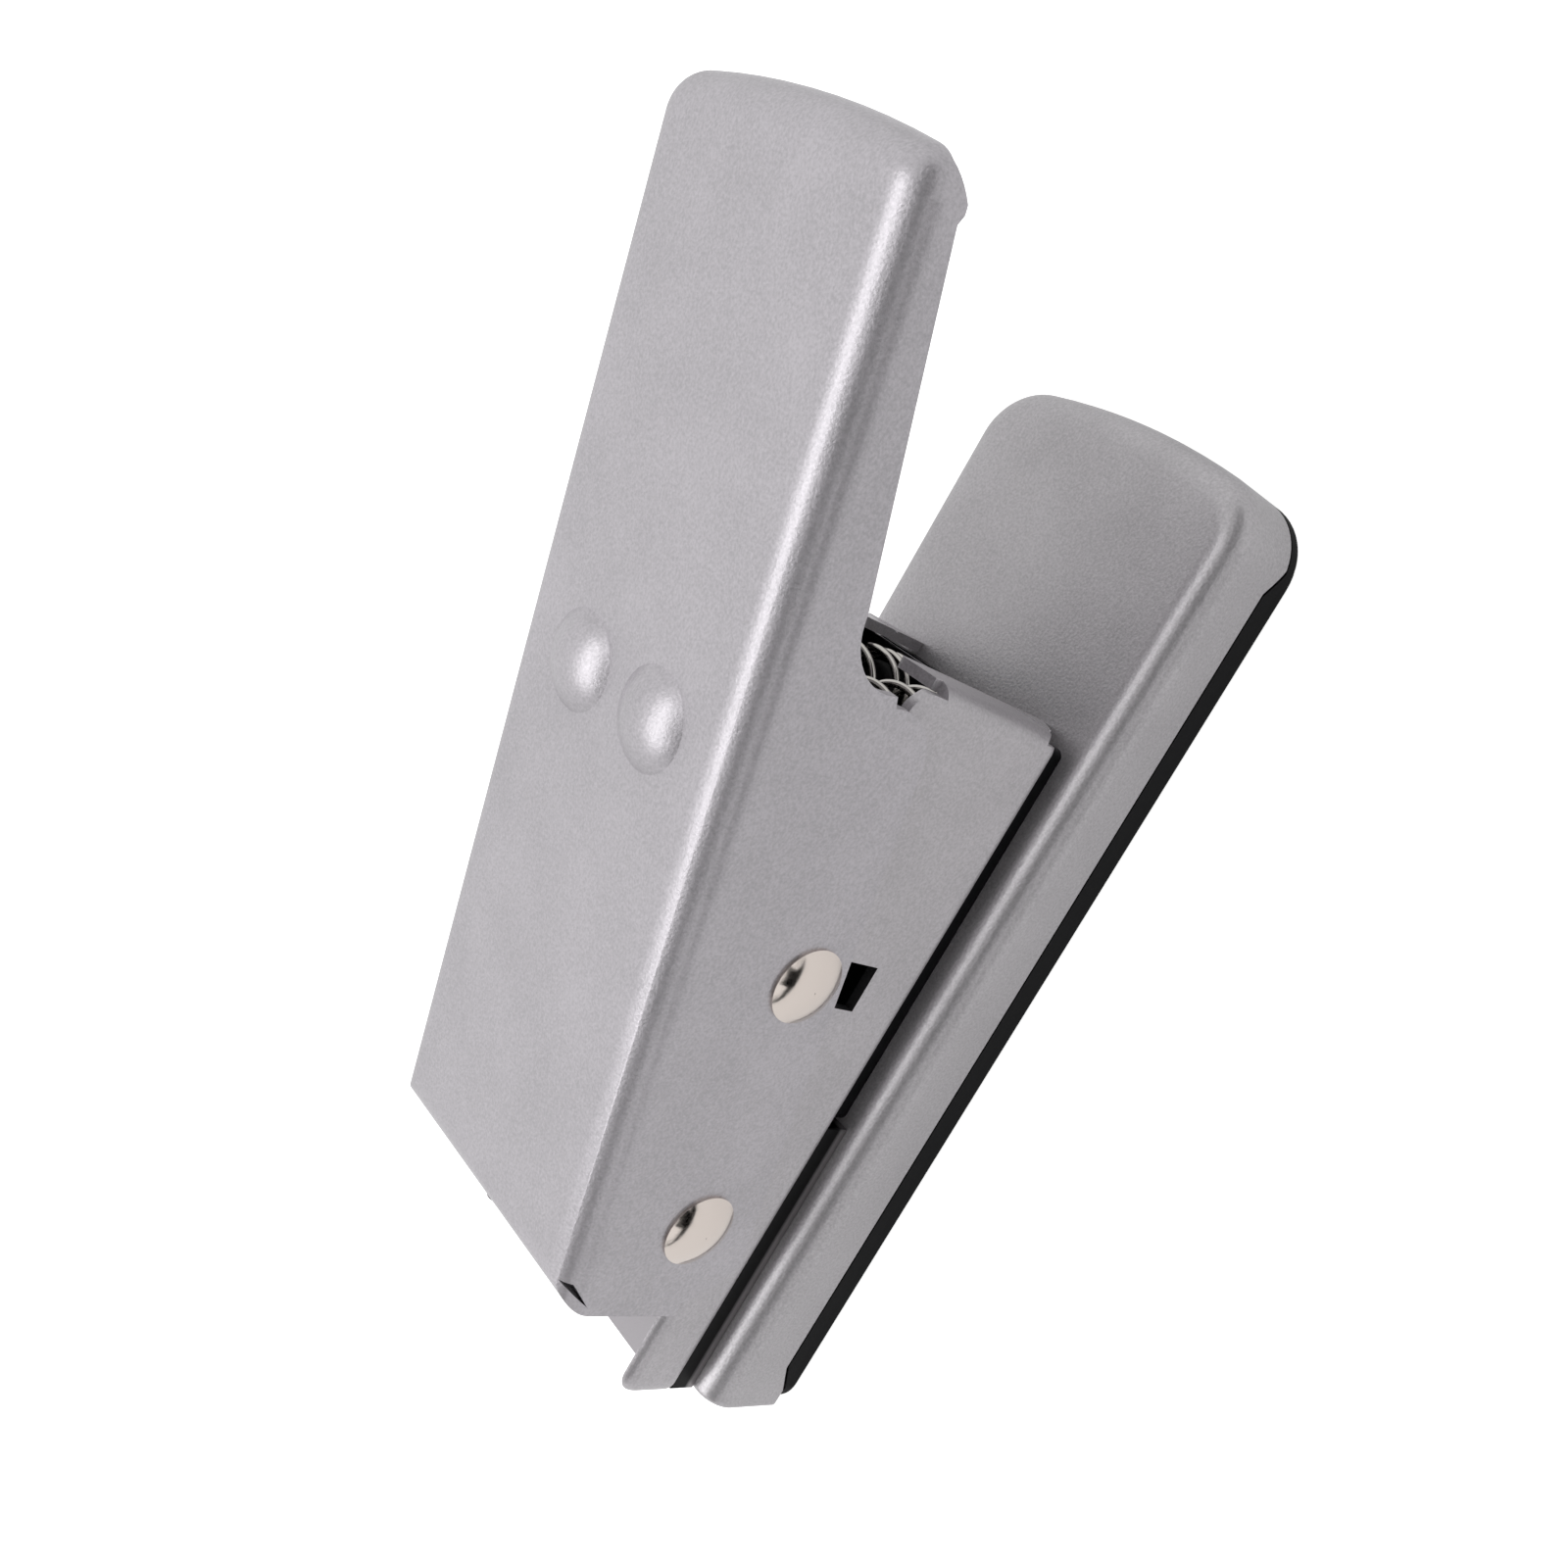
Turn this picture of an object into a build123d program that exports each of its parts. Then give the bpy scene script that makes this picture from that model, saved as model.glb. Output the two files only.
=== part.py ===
from build123d import *
import math
import os

# A hand-held punch that stamps plectrums out of plastic cards. Sizes are in millimetres.
# Build frame: x runs from the pivot end of the base to its free end, y across, z up from the table.
# The finished pieces are moved so that the origin is the centre of the footprint on the table.

# Pick: the outline that the punch cuts, which sets the widths of everything round it
pick_length = 30.5
pick_width = 26.0
pick_corner_r = 6.0
pick_tip_r = 3.2
pick_side_r = 52.0
pick_back_r = 30.0
cut_gap = 0.1
guide_side_gap = 0.15
guide_side_wall = 3.05
lever_frame_gap = 0.3
base_side_margin = 1.12

# Base shell: a pressed steel tray, upside down, with a convex free end
base_length = 118.95
base_top_z = 12.66
base_sheet = 1.0
base_end_r = 90.0
base_corner_r = 7.5
base_shoulder_r = 3.5
base_rear_fold_r = 0.8
shell_rim_z = 2.0
rim_recess_depth = 1.85
rim_recess_start_x = 2.6
rim_recess_end_margin = 6.75
rim_recess_ramp = 3.4

# Bottom tray: black moulded cover that catches the stamped picks and snaps into the shell
tray_floor = 1.6
tray_wall = 1.3
tray_wall_top_z = 8.0
tray_rim_gap = 0.25
tray_side_gap = 0.3
tray_bottom_round = 0.5
tray_rear_corner_r = 3.5
snap_rib_proud = 0.18
snap_rib_height = 1.2
snap_rib_length = 12.0
snap_rib_end_margin = 24.0

# Spacer under the frame's rear, and the die plate in front of it, under the card slot
slot_height = 3.6
spacer_rear_x = 0.1
spacer_length = 36.1
spacer_side_inset = 1.15
die_thickness = 2.0
die_rear_gap = 0.3
die_side_inset = 2.4
die_front_inset = 1.6
die_corner_r = 1.0

# Frame: folded steel channel with a floor, two side panels and a tab at each front corner
frame_sheet = 1.2
frame_rear_x = 0.0
frame_front_x = 85.84
frame_panel_height = 24.5
frame_fold_r = 2.2
frame_front_corner_r = 2.6
frame_panel_front_inset = 1.3
tail_height = 9.05
tail_top_r = 3.0
tail_bottom_r = 1.3
ear_r = 8.5
ear_end_deg = 125.0
tab_height = 21.15
tab_width = 7.6
tab_top_r = 0.9
tab_foot_gap = 0.05
tab_foot_width = 1.0
tab_foot_rise = 6.5
tab_relief_depth = 1.0
tab_relief_width = 2.0
floor_slit = 0.4

# Lever: pressed steel handle that folds over the frame
lever_sheet = 1.2
lever_open_deg = 15.3
lever_travel_deg = 15.0
pivot_x = 24.04
pivot_rise = 13.97
lever_top_w = 15.26
lever_free_end_u = 107.3
lever_end_r = 115.0
lever_corner_r = 4.4
lever_fold_r = 3.9
lever_rear_u = -7.4
lever_rear_lean_deg = 15.7
lever_rear_bend_r = 6.2
lever_rear_foot_w = -1.27
lever_heel_step = 1.75
lever_panel_bottom_w = -8.0
panel_front_u = 60.35
panel_front_lean = 1.2
panel_corner_r = 6.2
notch_r = 7.0
handle_bottom_start_w = 5.5
handle_bottom_rise_deg = 7.95
handle_bottom_end_u = 102.6
ear_drop = 0.45
ear_length = 1.6
end_lip_depth = 4.25
end_lip_ramp = 2.8
rear_flange_foot_w = 3.0
relief_front_u = -4.4
relief_drop = 0.6
relief_width = 1.15
relief_height = 3.2
relief_length = 2.9

# Pins, rivets and screws
drive_u = 29.71
drive_w = -2.9
pivot_pin_d = 5.0
drive_pin_d = 4.6
pin_head_d = 8.45
pin_head_height = 1.5
pin_head_rim = 0.3
running_gap = 0.05
slot_side_gap = 0.18
slot_end_gap = 0.5
pivot_tube_wall = 1.5
pivot_tube_end_gap = 0.05
rivet_shank_d = 3.5
rivet_head_d = 6.2
rivet_head_height = 1.2
rivet_hole_gap = 0.05
rivet_rear_x = 9.5
rivet_front_x = 27.5
rivet_side_inset = 6.5
die_rivet_end_inset = 3.4
die_rivet_side_inset = 2.6
sink_head_d = 5.4
sink_head_depth = 0.9
screw_d = 2.2
screw_length = 2.7
screw_end_inset = 3.2
screw_side_inset = 2.9

# Punch: pick-shaped steel ram with a lug for the drive pin
punch_edge_rise = 0.34
punch_ram_height = 12.5
lug_length = 13.0
lug_width = 25.0
lug_above_pin = 4.2
lug_top_round = 1.5
cross_hole_gap = 0.15

# Guide block: black moulded block on the frame floor, with the spring seats in front
guide_wall = 1.6
guide_height = 5.1
guide_front_gap = 0.35
seat_height = 1.3
seat_boss_d = 6.8
seat_boss_height = 3.4
seat_boss_round = 0.8

# Return springs and their studs
spring_u = 52.26
spring_gap = 2.98
wire_d = 0.8
coil_mean_d = 9.2
coil_turns = 12
coil_start_deg = -36.0
foot_pitch = 1.4
next_pitch = 1.9
spring_front_gap = 0.6
well_side_gap = 0.4
well_floor = 0.5
stud_head_d = 10.2
stud_head_height = 1.9
stud_head_rim = 0.35
stud_shank_d = 4.0
stud_pilot_d = 7.4
stud_pilot_height = 3.4

# Overrun of every cutting tool past the face that it opens
cut_over = 2.0

# Derived places
frame_inner_y = pick_width / 2 + cut_gap + guide_side_wall + guide_side_gap
frame_width = 2 * (frame_inner_y + frame_sheet)
lever_width = frame_width + 2 * (lever_frame_gap + lever_sheet)
base_width = lever_width + 2 * base_side_margin
frame_bottom_z = base_top_z + slot_height
floor_top_z = frame_bottom_z + frame_sheet
pivot_z = frame_bottom_z + pivot_rise
tab_gap = frame_width - 2 * tab_width
frame_top_z = frame_bottom_z + frame_panel_height
die_top_z = base_top_z + die_thickness
die_width = frame_width - 2 * die_side_inset
die_rear_x = spacer_rear_x + spacer_length + die_rear_gap
die_front_x = frame_front_x - die_front_inset
guide_top_z = floor_top_z + guide_height
step_top_z = floor_top_z + seat_height
seat_z = floor_top_z + well_floor
spring_outer_d = coil_mean_d + wire_d
spring_side_y = (spring_outer_d + spring_gap) / 2
spring_foot_x = frame_front_x - frame_sheet - spring_front_gap - spring_outer_d / 2
pin_reach = math.hypot(drive_u, drive_w)
pin_phase_deg = math.degrees(math.atan2(drive_w, drive_u))


def pin_place(turn_deg):
    """Centre of the drive pin when the lever has turned down by turn_deg from its rest."""
    angle = math.radians(pin_phase_deg + lever_open_deg - turn_deg)
    return pivot_x + pin_reach * math.cos(angle), pivot_z + pin_reach * math.sin(angle)


pin_rest_x, pin_rest_z = pin_place(0)
pin_down_x, pin_down_z = pin_place(lever_travel_deg)
pin_far_x = pivot_x + pin_reach
punch_x = (pin_rest_x + pin_far_x) / 2
punch_travel = pin_rest_z - pin_down_z
punch_bottom_z = frame_bottom_z + punch_edge_rise
guide_rear_x = punch_x - pick_length / 2 - cut_gap - guide_wall
guide_front_x = frame_front_x - frame_sheet - guide_front_gap
lever_rest = Pos(pivot_x, 0, pivot_z) * Rot(0, -lever_open_deg, 0)
to_origin = Pos(-base_length / 2, 0, 0)


def save(name, shape):
    """Move one finished piece to the footprint's centre and write it as a STEP file."""
    export_step(to_origin * shape, f"parts/{name}.step")


def ring(points):
    """Closed face through points in the XZ plane, seen along +y."""
    corners = [Vector(x, 0, z) for x, z in points]
    return make_face(Polyline(*corners, close=True))


def across(face, width):
    """Solid made by spreading an XZ face to both sides of the middle plane."""
    return extrude(face, amount=width / 2, dir=(0, 1, 0), both=True)


def block(x0, x1, y0, y1, z0, z1):
    """Box between two corners."""
    centre = Pos((x0 + x1) / 2, (y0 + y1) / 2, (z0 + z1) / 2)
    return centre * Box(x1 - x0, y1 - y0, z1 - z0)


def rod_z(x, y, z0, z1, diameter):
    """Upright round bar between two heights."""
    return Pos(x, y, (z0 + z1) / 2) * Cylinder(diameter / 2, z1 - z0)


def rod_y(x, z, width, diameter):
    """Round bar across the object, centred on the middle plane."""
    return Pos(x, 0, z) * Rot(90, 0, 0) * Cylinder(diameter / 2, width)


def dome(diameter, rim, height):
    """Round head on the XY plane: a short rim under a spherical cap."""
    radius = diameter / 2
    profile = Line((0, 0, 0), (radius, 0, 0)) + Line((radius, 0, 0), (radius, 0, rim))
    cap_rise = height - rim
    cap_r = (radius**2 + cap_rise**2) / (2 * cap_rise)
    half = math.asin(radius / cap_r) / 2
    middle = (cap_r * math.sin(half), 0, height - cap_r * (1 - math.cos(half)))
    profile += ThreePointArc((radius, 0, rim), middle, (0, 0, height))
    profile += Line((0, 0, height), (0, 0, 0))
    return revolve(make_face(profile), Axis.Z)


def convex_outline(x0, x1, width, end_r, corner_r):
    """Plan outline with a square rear end and a bulging, round-cornered free end."""
    half = width / 2
    sagitta = end_r - math.sqrt(end_r**2 - half**2)
    side_x = x1 - sagitta
    outline = Line((x0, -half), (side_x, -half))
    outline += ThreePointArc((side_x, -half), (x1, 0), (side_x, half))
    outline += Line((side_x, half), (x0, half)) + Line((x0, half), (x0, -half))
    face = make_face(outline)
    return fillet(face.vertices().group_by(Axis.X)[-1], radius=corner_r)


def pick_face(grow):
    """Pick-shaped face about the punch's centre, grown all round, with its tip to the pivot."""
    corner_r = pick_corner_r + grow
    tip_r = pick_tip_r + grow
    side_r = pick_side_r + grow
    back_r = pick_back_r + grow
    corner_y = pick_width / 2 - pick_corner_r
    back_centre_x = pick_length / 2 - pick_back_r
    corner_x = back_centre_x + math.sqrt((back_r - corner_r) ** 2 - corner_y**2)
    tip_x = pick_tip_r - pick_length / 2
    corner = Vector(corner_x, corner_y)
    tip = Vector(tip_x, 0)
    side = circle_meet(corner, side_r - corner_r, tip, side_r - tip_r)
    back = Vector(back_centre_x, 0)
    p1 = back + (corner - back).normalized() * back_r
    p2 = side + (corner - side).normalized() * side_r
    p3 = side + (tip - side).normalized() * side_r
    corner_mid = corner + ((p1 + p2) * 0.5 - corner).normalized() * corner_r
    side_mid = side + ((p2 + p3) * 0.5 - side).normalized() * side_r
    half = ThreePointArc(p1, corner_mid, p2) + ThreePointArc(p2, side_mid, p3)
    back_arc = ThreePointArc(mirrored(p1), (back_centre_x + back_r, 0), p1)
    tip_arc = ThreePointArc(p3, (tip_x - tip_r, 0), mirrored(p3))
    other = ThreePointArc(mirrored(p3), mirrored(side_mid), mirrored(p2))
    other += ThreePointArc(mirrored(p2), mirrored(corner_mid), mirrored(p1))
    return Pos(punch_x, 0, 0) * make_face(half + tip_arc + other + back_arc)


def mirrored(point):
    """The same point on the other side of the middle plane."""
    return Vector(point.X, -point.Y)


def circle_meet(first, first_r, second, second_r):
    """Lower meeting point of two circles given by centre and radius."""
    gap = second - first
    length = gap.length
    along = (first_r**2 - second_r**2 + length**2) / (2 * length)
    height = math.sqrt(first_r**2 - along**2)
    direction = gap * (1 / length)
    base = first + direction * along
    normal = Vector(-direction.Y, direction.X)
    options = [base + normal * height, base - normal * height]
    return min(options, key=lambda point: point.Y)


def pick_bar(z0, z1, grow):
    """Pick-shaped bar between two heights."""
    return extrude(Pos(0, 0, z0) * pick_face(grow), amount=z1 - z0)


def rivet_places():
    """Centres of the four rivets that hold frame, spacer and die plate to the base."""
    rivet_y = frame_inner_y - rivet_side_inset
    return [(x, side * rivet_y) for x in (rivet_rear_x, rivet_front_x) for side in (-1, 1)]


def screw_places():
    """Centres of the four screws that hold the guide block to the frame floor."""
    screw_y = frame_inner_y - screw_side_inset
    ends = (guide_rear_x + screw_end_inset, guide_front_x - screw_end_inset)
    return [(x, side * screw_y) for x in ends for side in (-1, 1)]


def die_rivet_places():
    """Centres of the four flush rivets at the corners of the die plate."""
    rivet_y = die_width / 2 - die_rivet_side_inset
    ends = (die_rear_x + die_rivet_end_inset, die_front_x - die_rivet_end_inset)
    return [(x, side * rivet_y) for x in ends for side in (-1, 1)]


def shell_form(inset, bottom_z):
    """Outer or inner form of the base shell, drawn in by inset on every wall."""
    width = base_width - 2 * inset
    face = convex_outline(inset, base_length - inset, width, base_end_r - inset, base_corner_r - inset)
    top_z = base_top_z - inset
    solid = extrude(Pos(0, 0, bottom_z) * face, amount=top_z - bottom_z)
    rim = solid.edges().group_by(Axis.Z)[-1].sort_by(Axis.X)[1:]
    return fillet(rim, radius=base_shoulder_r - inset)


def recess_profile(gap):
    """Side view of the shallow recess along the lower edge of both long walls."""
    start_x = rim_recess_start_x + gap
    end_x = base_length - rim_recess_end_margin - gap
    low_z = shell_rim_z - gap
    high_z = shell_rim_z + rim_recess_depth - gap
    return [
        (start_x, low_z),
        (start_x + rim_recess_ramp, high_z),
        (end_x - rim_recess_ramp, high_z),
        (end_x, low_z),
    ]


def make_base_shell():
    """Pressed shell with its recessed rim, the pick drop hole and the rivet holes."""
    outer = shell_form(0, shell_rim_z)
    rear = [edge for edge in outer.edges() if on_rear(edge)]
    outer = fillet(rear, radius=base_rear_fold_r)
    shell = outer - shell_form(base_sheet, shell_rim_z - cut_over)
    profile = recess_profile(0)
    below = [(profile[0][0], shell_rim_z - cut_over)] + profile
    below += [(profile[-1][0], shell_rim_z - cut_over)]
    shell -= across(ring(below), base_width + cut_over)
    shell -= pick_bar(base_top_z - base_sheet - cut_over, base_top_z + cut_over, cut_gap)
    for x, y in rivet_places() + die_rivet_places():
        hole = rivet_shank_d + 2 * rivet_hole_gap
        shell -= rod_z(x, y, base_top_z - base_sheet - cut_over, base_top_z + cut_over, hole)
    return shell


def on_rear(edge):
    """True for the edges around the rear face, apart from the one along its foot."""
    box = edge.bounding_box()
    return box.max.X < base_rear_fold_r / 2 and box.max.Z > shell_rim_z + base_rear_fold_r


def make_bottom_tray():
    """Moulded cover: floor, outer ledge under the shell's rim and a wall inside the shell."""
    inner_inset = base_sheet + tray_side_gap
    face = convex_outline(0, base_length, base_width, base_end_r, base_corner_r)
    face = fillet(face.vertices().group_by(Axis.X)[0], radius=tray_rear_corner_r)
    ledge_top = shell_rim_z + rim_recess_depth - tray_rim_gap
    ledge = extrude(face, amount=ledge_top)
    ledge = fillet(ledge.edges().group_by(Axis.Z)[0], radius=tray_bottom_round)
    low_z = shell_rim_z - tray_rim_gap
    step = recess_profile(tray_rim_gap)
    above = [(-cut_over, low_z)] + step + [(base_length + cut_over, low_z)]
    above += [(base_length + cut_over, ledge_top + cut_over), (-cut_over, ledge_top + cut_over)]
    ledge -= across(ring(above), base_width + cut_over)
    width = base_width - 2 * inner_inset
    wall_face = convex_outline(
        inner_inset, base_length - inner_inset, width, base_end_r - inner_inset, base_corner_r - inner_inset
    )
    wall_face = fillet(wall_face.vertices().group_by(Axis.X)[0], radius=tray_rear_corner_r - inner_inset)
    wall = extrude(wall_face, amount=tray_wall_top_z)
    room_inset = inner_inset + tray_wall
    room_width = base_width - 2 * room_inset
    room_face = convex_outline(
        room_inset, base_length - room_inset, room_width, base_end_r - room_inset, base_corner_r - room_inset
    )
    room = extrude(Pos(0, 0, tray_floor) * room_face, amount=tray_wall_top_z)
    tray = ledge + wall - room
    rib_z = tray_wall_top_z - snap_rib_height
    for x in (snap_rib_end_margin, base_length - snap_rib_end_margin):
        for side in (-1, 1):
            tray += snap_rib(x, side * width / 2, rib_z)
    return tray


def snap_rib(x, wall_y, z):
    """Low rounded rib on the tray's wall that snaps into the shell."""
    drop = snap_rib_height / 2
    radius = (drop**2 + snap_rib_proud**2) / (2 * snap_rib_proud)
    centre_y = wall_y - math.copysign(radius - snap_rib_proud, wall_y)
    bar = Pos(x, centre_y, z) * Rot(0, 90, 0) * Cylinder(radius, snap_rib_length)
    inner_y = wall_y - math.copysign(tray_wall / 2, wall_y)
    outer_y = wall_y + math.copysign(snap_rib_proud, wall_y)
    keep = block(
        x - snap_rib_length / 2,
        x + snap_rib_length / 2,
        min(inner_y, outer_y),
        max(inner_y, outer_y),
        z - drop,
        z + drop,
    )
    return bar & keep


def make_die_plate():
    """Hardened plate with the pick-shaped die opening."""
    plate = block(die_rear_x, die_front_x, -die_width / 2, die_width / 2, base_top_z, die_top_z)
    plate = fillet(plate.edges().filter_by(Axis.Z), radius=die_corner_r)
    plate -= pick_bar(base_top_z - cut_over, die_top_z + cut_over, cut_gap)
    for x, y in die_rivet_places():
        plate -= flush_rivet(x, y, 2 * rivet_hole_gap)
    return plate


def make_slot_spacer():
    """Steel block between shell and frame, whose front edge is the card's stop."""
    half = frame_width / 2 - spacer_side_inset
    shim = block(spacer_rear_x, spacer_rear_x + spacer_length, -half, half, base_top_z, frame_bottom_z)
    for x, y in rivet_places():
        hole = rivet_shank_d + 2 * rivet_hole_gap
        shim -= rod_z(x, y, base_top_z - cut_over, frame_bottom_z + cut_over, hole)
    return shim


def panel_outline():
    """Side view of one frame panel: tail, ear round the pivot, top edge and front edge."""
    tail_z = frame_bottom_z + tail_height
    drop = tail_z - pivot_z
    ear_start = (pivot_x - math.sqrt(ear_r**2 - drop**2), tail_z)
    ear_end = math.radians(ear_end_deg)
    ear_stop = (pivot_x + ear_r * math.cos(ear_end), pivot_z + ear_r * math.sin(ear_end))
    climb = frame_top_z - ear_stop[1]
    top_start_x = ear_stop[0] + climb * math.tan(math.pi - ear_end)
    front_x = frame_front_x - frame_panel_front_inset
    corner = frame_front_corner_r
    corner_mid = corner * (1 - math.sqrt(1 / 2))
    tail_mid = tail_top_r * (1 - math.sqrt(1 / 2))
    foot_mid = tail_bottom_r * (1 - math.sqrt(1 / 2))
    edges = Line(xz(frame_rear_x + tail_bottom_r, frame_bottom_z), xz(front_x, frame_bottom_z))
    edges += Line(xz(front_x, frame_bottom_z), xz(front_x, frame_top_z - corner))
    edges += ThreePointArc(
        xz(front_x, frame_top_z - corner),
        xz(front_x - corner_mid, frame_top_z - corner_mid),
        xz(front_x - corner, frame_top_z),
    )
    edges += Line(xz(front_x - corner, frame_top_z), xz(top_start_x, frame_top_z))
    edges += Line(xz(top_start_x, frame_top_z), xz(*ear_stop))
    edges += ThreePointArc(xz(*ear_stop), xz(pivot_x - ear_r, pivot_z), xz(*ear_start))
    edges += Line(xz(*ear_start), xz(frame_rear_x + tail_top_r, tail_z))
    edges += ThreePointArc(
        xz(frame_rear_x + tail_top_r, tail_z),
        xz(frame_rear_x + tail_mid, tail_z - tail_mid),
        xz(frame_rear_x, tail_z - tail_top_r),
    )
    edges += Line(xz(frame_rear_x, tail_z - tail_top_r), xz(frame_rear_x, frame_bottom_z + tail_bottom_r))
    edges += ThreePointArc(
        xz(frame_rear_x, frame_bottom_z + tail_bottom_r),
        xz(frame_rear_x + foot_mid, frame_bottom_z + foot_mid),
        xz(frame_rear_x + tail_bottom_r, frame_bottom_z),
    )
    return make_face(edges)


def xz(x, z):
    """Point on the middle plane."""
    return (x, 0, z)


def make_frame():
    """Folded channel: floor, two panels and two front tabs, with its slots and holes."""
    tab_z = frame_bottom_z + tab_height
    front_x = frame_front_x - frame_panel_front_inset
    body = across(panel_outline(), frame_width)
    nose = block(
        front_x - frame_fold_r, frame_front_x, -frame_width / 2, frame_width / 2, frame_bottom_z, tab_z
    )
    body += nose
    corners = [edge for edge in body.edges().filter_by(Axis.Z) if edge.center().X > front_x]
    body = fillet(corners, radius=frame_fold_r)
    long_edges = [edge for edge in body.edges().filter_by(Axis.X) if edge.center().Z < floor_top_z]
    body = fillet(long_edges, radius=frame_fold_r)
    room = block(
        frame_rear_x - cut_over,
        frame_front_x - frame_sheet,
        -frame_inner_y,
        frame_inner_y,
        floor_top_z,
        frame_top_z + cut_over,
    )
    inner_long = [edge for edge in room.edges().filter_by(Axis.X) if edge.center().Z < pivot_z]
    inner_up = [edge for edge in room.edges().filter_by(Axis.Z) if edge.center().X > pivot_x]
    room = fillet(inner_long + inner_up, radius=frame_fold_r - frame_sheet)
    body -= room
    body -= block(
        frame_front_x - frame_sheet - floor_slit,
        frame_front_x + cut_over,
        -tab_gap / 2,
        tab_gap / 2,
        frame_bottom_z - cut_over,
        frame_top_z + cut_over,
    )
    slit_y = frame_inner_y - frame_fold_r
    body -= block(
        frame_front_x - frame_sheet - floor_slit,
        frame_front_x - frame_sheet,
        -slit_y,
        slit_y,
        frame_bottom_z - cut_over,
        floor_top_z + cut_over,
    )
    for side in (-1, 1):
        outer = side * (frame_width / 2 + cut_over)
        inner = side * (frame_width / 2 - tab_relief_width)
        body -= block(
            front_x,
            frame_front_x + cut_over,
            min(inner, outer),
            max(inner, outer),
            tab_z - tab_relief_depth,
            frame_top_z + cut_over,
        )
        body = body + tab_foot(side) - tab_corner_cut(side)
    tips = [edge for edge in body.edges().filter_by(Axis.X) if is_tab_tip(edge, tab_z)]
    body = fillet(tips, radius=tab_top_r)
    body -= rod_y(pivot_x, pivot_z, frame_width + cut_over, pivot_pin_d + 2 * running_gap)
    slot_x0 = pin_rest_x - drive_pin_d / 2 - slot_side_gap
    slot_x1 = pin_far_x + drive_pin_d / 2 + slot_side_gap
    slot_z0 = pin_down_z - drive_pin_d / 2 - slot_end_gap
    slot_z1 = pin_rest_z + drive_pin_d / 2 + slot_end_gap
    slot_y = (frame_width + cut_over) / 2
    body -= block(slot_x0, slot_x1, -slot_y, slot_y, slot_z0, slot_z1)
    body -= pick_bar(frame_bottom_z - cut_over, floor_top_z + cut_over, cut_gap)
    for x, y in rivet_places():
        hole = rivet_shank_d + 2 * rivet_hole_gap
        body -= rod_z(x, y, frame_bottom_z - cut_over, floor_top_z + cut_over, hole)
    for x, y in screw_places():
        body -= guide_screw(x, y, 2 * rivet_hole_gap)
    return body


def tab_foot(side):
    """Lower part of a front tab, which reaches down past the floor to the base."""
    inner = side * tab_gap / 2
    outer = side * (frame_width / 2 - frame_fold_r)
    return block(
        frame_front_x - frame_sheet,
        frame_front_x,
        min(inner, outer),
        max(inner, outer),
        base_top_z + tab_foot_gap,
        floor_top_z,
    )


def tab_corner_cut(side):
    """Wedge that takes the lower outer corner off a front tab, along a slanting line."""
    foot_z = base_top_z + tab_foot_gap
    foot_y = tab_gap / 2 + tab_foot_width
    half = frame_width / 2
    outline = [
        (foot_y, foot_z),
        (half, foot_z + tab_foot_rise),
        (half + cut_over, foot_z + tab_foot_rise),
        (half + cut_over, foot_z - cut_over),
        (foot_y, foot_z - cut_over),
    ]
    front_x = frame_front_x - frame_panel_front_inset
    corners = [Vector(front_x, side * y, z) for y, z in outline]
    face = make_face(Polyline(*corners, close=True))
    return extrude(face, amount=frame_panel_front_inset + cut_over, dir=(1, 0, 0))


def is_tab_tip(edge, tab_z):
    """True for the top inner corner of each front tab, seen from the front."""
    centre = edge.center()
    at_gap = abs(abs(centre.Y) - tab_gap / 2) < tab_relief_depth / 2
    at_top = abs(centre.Z - tab_z) < tab_relief_depth / 2
    return at_gap and at_top and centre.X > frame_front_x - frame_sheet


def round_rivet(x, y, z0, z1):
    """Rivet with a round head outside each of two faces."""
    rivet = rod_z(x, y, z0, z1, rivet_shank_d)
    head = dome(rivet_head_d, pin_head_rim, rivet_head_height)
    rivet += Pos(x, y, z1) * head
    rivet += Pos(x, y, z0) * Rot(180, 0, 0) * head
    return rivet


def flush_rivet(x, y, grow):
    """Rivet with a countersunk head level with the die plate's top and a round one below."""
    under_z = base_top_z - base_sheet
    rivet = rod_z(x, y, under_z, die_top_z, rivet_shank_d + grow)
    cone_r = (sink_head_d + grow) / 2
    shank_r = (rivet_shank_d + grow) / 2
    cone = Cone(shank_r, cone_r, sink_head_depth)
    rivet += Pos(x, y, die_top_z - sink_head_depth / 2) * cone
    if grow == 0:
        rivet += Pos(x, y, under_z) * Rot(180, 0, 0) * dome(rivet_head_d, pin_head_rim, rivet_head_height)
    return rivet


def guide_screw(x, y, grow):
    """Countersunk screw from under the frame floor into the guide block."""
    top_z = frame_bottom_z + screw_length
    screw = rod_z(x, y, frame_bottom_z, top_z, screw_d + grow)
    cone = Cone((sink_head_d - rivet_shank_d + screw_d + grow) / 2, (screw_d + grow) / 2, sink_head_depth)
    return screw + Pos(x, y, frame_bottom_z + sink_head_depth / 2) * cone


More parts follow.
